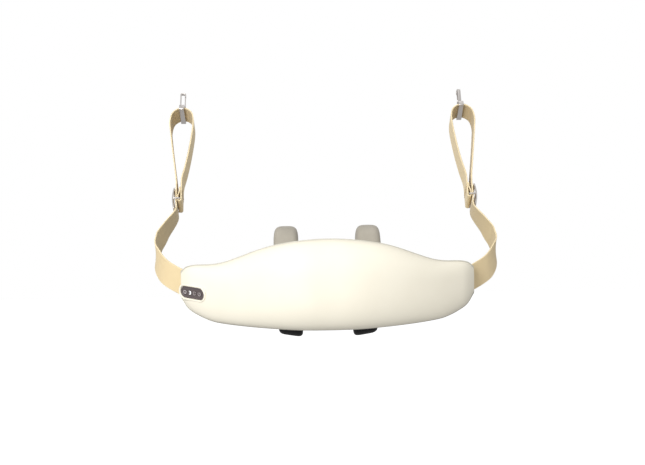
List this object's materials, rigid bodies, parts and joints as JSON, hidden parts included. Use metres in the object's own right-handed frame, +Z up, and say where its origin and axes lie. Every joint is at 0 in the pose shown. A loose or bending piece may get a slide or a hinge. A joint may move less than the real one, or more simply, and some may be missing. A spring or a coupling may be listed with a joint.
{
  "type": "strapped neck massager",
  "caption": "Padded wrap-round neck and shoulder kneading massager with geared gripping fingers, an end control panel and webbing straps with sliders, hand loops and swivel hooks.",
  "frame": {"origin": "middle of the flat neck rest on the rear pad", "axes": "+X along the body towards the end without the control panel, +Y out of the neck rest towards the wearer, +Z up"},
  "size_m": [0.4134, 0.2737, 0.2985],
  "materials": {
    "cream_leather": "soft grain",
    "cream_fabric": "soft mesh",
    "grey_piping": "matte",
    "grey_shell": "matte",
    "heating_film": "satin film",
    "steel": "satin",
    "brass": "satin",
    "white_nylon": "matte",
    "black_nylon": "matte",
    "battery_wrap": "satin wrap",
    "green_board": "solder mask",
    "plum_panel": "satin",
    "plum_button": "satin",
    "warm_grey_silicone": "soft matte",
    "charcoal_silicone": "soft matte",
    "tan_webbing": "woven",
    "nickel": "satin plated"
  },
  "bodies": {
    "padded_body": {"front_cover_pad": "cream_leather", "front_shell": "grey_shell", "rear_pad": "cream_fabric", "rear_shell": "grey_shell", "heating_film": "heating_film", "seam_piping": "grey_piping", "pivot_rod_upper": "steel", "pivot_rod_lower": "steel", "chassis": "black_nylon", "gearbox": "black_nylon", "motor": "steel", "shaft_bush_left": "brass", "shaft_bush_right": "brass", "battery_cell_left": "battery_wrap", "battery_cell_right": "battery_wrap", "main_board": "green_board", "panel_bezel": "plum_panel", "button_board": "green_board", "charging_socket": "steel", "strap_left": "tan_webbing", "strap_right": "tan_webbing", "strap_anchor_left": "black_nylon", "strap_anchor_right": "black_nylon"},
    "lower_left_finger": {"finger_arm_lower_left": "black_nylon", "finger_cover_lower_left": "charcoal_silicone", "sector_gear_lower_left": "white_nylon"},
    "lower_right_finger": {"finger_arm_lower_right": "black_nylon", "finger_cover_lower_right": "charcoal_silicone", "sector_gear_lower_right": "white_nylon"},
    "upper_left_finger": {"finger_arm_upper_left": "black_nylon", "finger_cover_upper_left": "warm_grey_silicone", "sector_gear_upper_left": "white_nylon"},
    "upper_right_finger": {"finger_arm_upper_right": "black_nylon", "finger_cover_upper_right": "warm_grey_silicone", "sector_gear_upper_right": "white_nylon"},
    "drive_train": {"drive_shaft": "steel", "pinion_left": "brass", "pinion_right": "brass"},
    "button_1": {"push_button_1": "plum_button"},
    "button_2": {"push_button_2": "plum_button"},
    "button_3": {"push_button_3": "plum_button"},
    "button_4": {"push_button_4": "plum_button"},
    "slider_left": {"slider_left": "nickel", "slider_bar_left": "nickel"},
    "ring_left": {"strap_ring_left": "nickel"},
    "hook_left": {"snap_hook_left": "nickel"},
    "gate_left": {"hook_gate_left": "nickel"},
    "slider_right": {"slider_right": "nickel", "slider_bar_right": "nickel"},
    "ring_right": {"strap_ring_right": "nickel"},
    "hook_right": {"snap_hook_right": "nickel"},
    "gate_right": {"hook_gate_right": "nickel"}
  },
  "joints": [
    {"name": "lower_left_finger_swing", "type": "hinge", "parent": "padded_body", "child": "lower_left_finger", "pos_m": [-0.0437, -0.02, -0.014], "axis": [1, 0, 0], "range_deg": [0, 16]},
    {"name": "lower_right_finger_swing", "type": "hinge", "parent": "padded_body", "child": "lower_right_finger", "pos_m": [0.0437, -0.02, -0.014], "axis": [1, 0, 0], "range_deg": [0, 16]},
    {"name": "upper_left_finger_swing", "type": "hinge", "parent": "padded_body", "child": "upper_left_finger", "pos_m": [-0.0478, -0.02, 0.014], "axis": [1, 0, 0], "range_deg": [-16, 0]},
    {"name": "upper_right_finger_swing", "type": "hinge", "parent": "padded_body", "child": "upper_right_finger", "pos_m": [0.0478, -0.02, 0.014], "axis": [1, 0, 0], "range_deg": [-16, 0]},
    {"name": "drive_shaft_turn", "type": "hinge", "parent": "padded_body", "child": "drive_train", "pos_m": [0, -0.0396, -0.014], "axis": [1, 0, 0], "range_deg": [-40, 0]},
    {"name": "button_1_press", "type": "slide", "parent": "padded_body", "child": "button_1", "axis": [0.6365, 0.7586, 0.1392], "range_m": [0, 0.0006], "stiffness_N_per_m": 600},
    {"name": "button_2_press", "type": "slide", "parent": "padded_body", "child": "button_2", "axis": [0.6365, 0.7586, 0.1392], "range_m": [0, 0.0006], "stiffness_N_per_m": 600},
    {"name": "button_3_press", "type": "slide", "parent": "padded_body", "child": "button_3", "axis": [0.6365, 0.7586, 0.1392], "range_m": [0, 0.0006], "stiffness_N_per_m": 600},
    {"name": "button_4_press", "type": "slide", "parent": "padded_body", "child": "button_4", "axis": [0.6365, 0.7586, 0.1392], "range_m": [0, 0.0006], "stiffness_N_per_m": 600},
    {"name": "slider_left_slide", "type": "slide", "parent": "padded_body", "child": "slider_left", "axis": [0, 0.515, 0.8572], "range_m": [0, 0.005]},
    {"name": "ring_left_swing", "type": "hinge", "parent": "padded_body", "child": "ring_left", "pos_m": [-0.1789, 0.19353, 0.20622], "axis": [0, -0.8572, 0.515], "range_deg": [-10, 10]},
    {"name": "hook_left_swivel", "type": "hinge", "parent": "ring_left", "child": "hook_left", "pos_m": [-0.1789, 0.19626, 0.21076], "axis": [0, 0.515, 0.8572], "continuous": true},
    {"name": "gate_left_open", "type": "hinge", "parent": "hook_left", "child": "gate_left", "pos_m": [-0.17601, 0.20179, 0.21957], "axis": [0.0698, -0.8551, 0.5138], "range_deg": [0, 14], "stiffness_Nm_per_rad": 0.004},
    {"name": "slider_right_slide", "type": "slide", "parent": "padded_body", "child": "slider_right", "axis": [0, 0.515, 0.8572], "range_m": [0, 0.005]},
    {"name": "ring_right_swing", "type": "hinge", "parent": "padded_body", "child": "ring_right", "pos_m": [0.1775, 0.19353, 0.20622], "axis": [0, -0.8572, 0.515], "range_deg": [-10, 10]},
    {"name": "hook_right_swivel", "type": "hinge", "parent": "ring_right", "child": "hook_right", "pos_m": [0.1775, 0.19626, 0.21076], "axis": [0, 0.515, 0.8572], "continuous": true},
    {"name": "gate_right_open", "type": "hinge", "parent": "hook_right", "child": "gate_right", "pos_m": [0.177, 0.20406, 0.2182], "axis": [0.9848, 0.1488, -0.0894], "range_deg": [0, 14], "stiffness_Nm_per_rad": 0.004}
  ],
  "couplings": [
    {"joint": "lower_right_finger_swing", "follows": "lower_left_finger_swing", "ratio": 1},
    {"joint": "upper_left_finger_swing", "follows": "lower_left_finger_swing", "ratio": -1},
    {"joint": "upper_right_finger_swing", "follows": "lower_left_finger_swing", "ratio": -1},
    {"joint": "drive_shaft_turn", "follows": "lower_left_finger_swing", "ratio": -2.5}
  ]
}
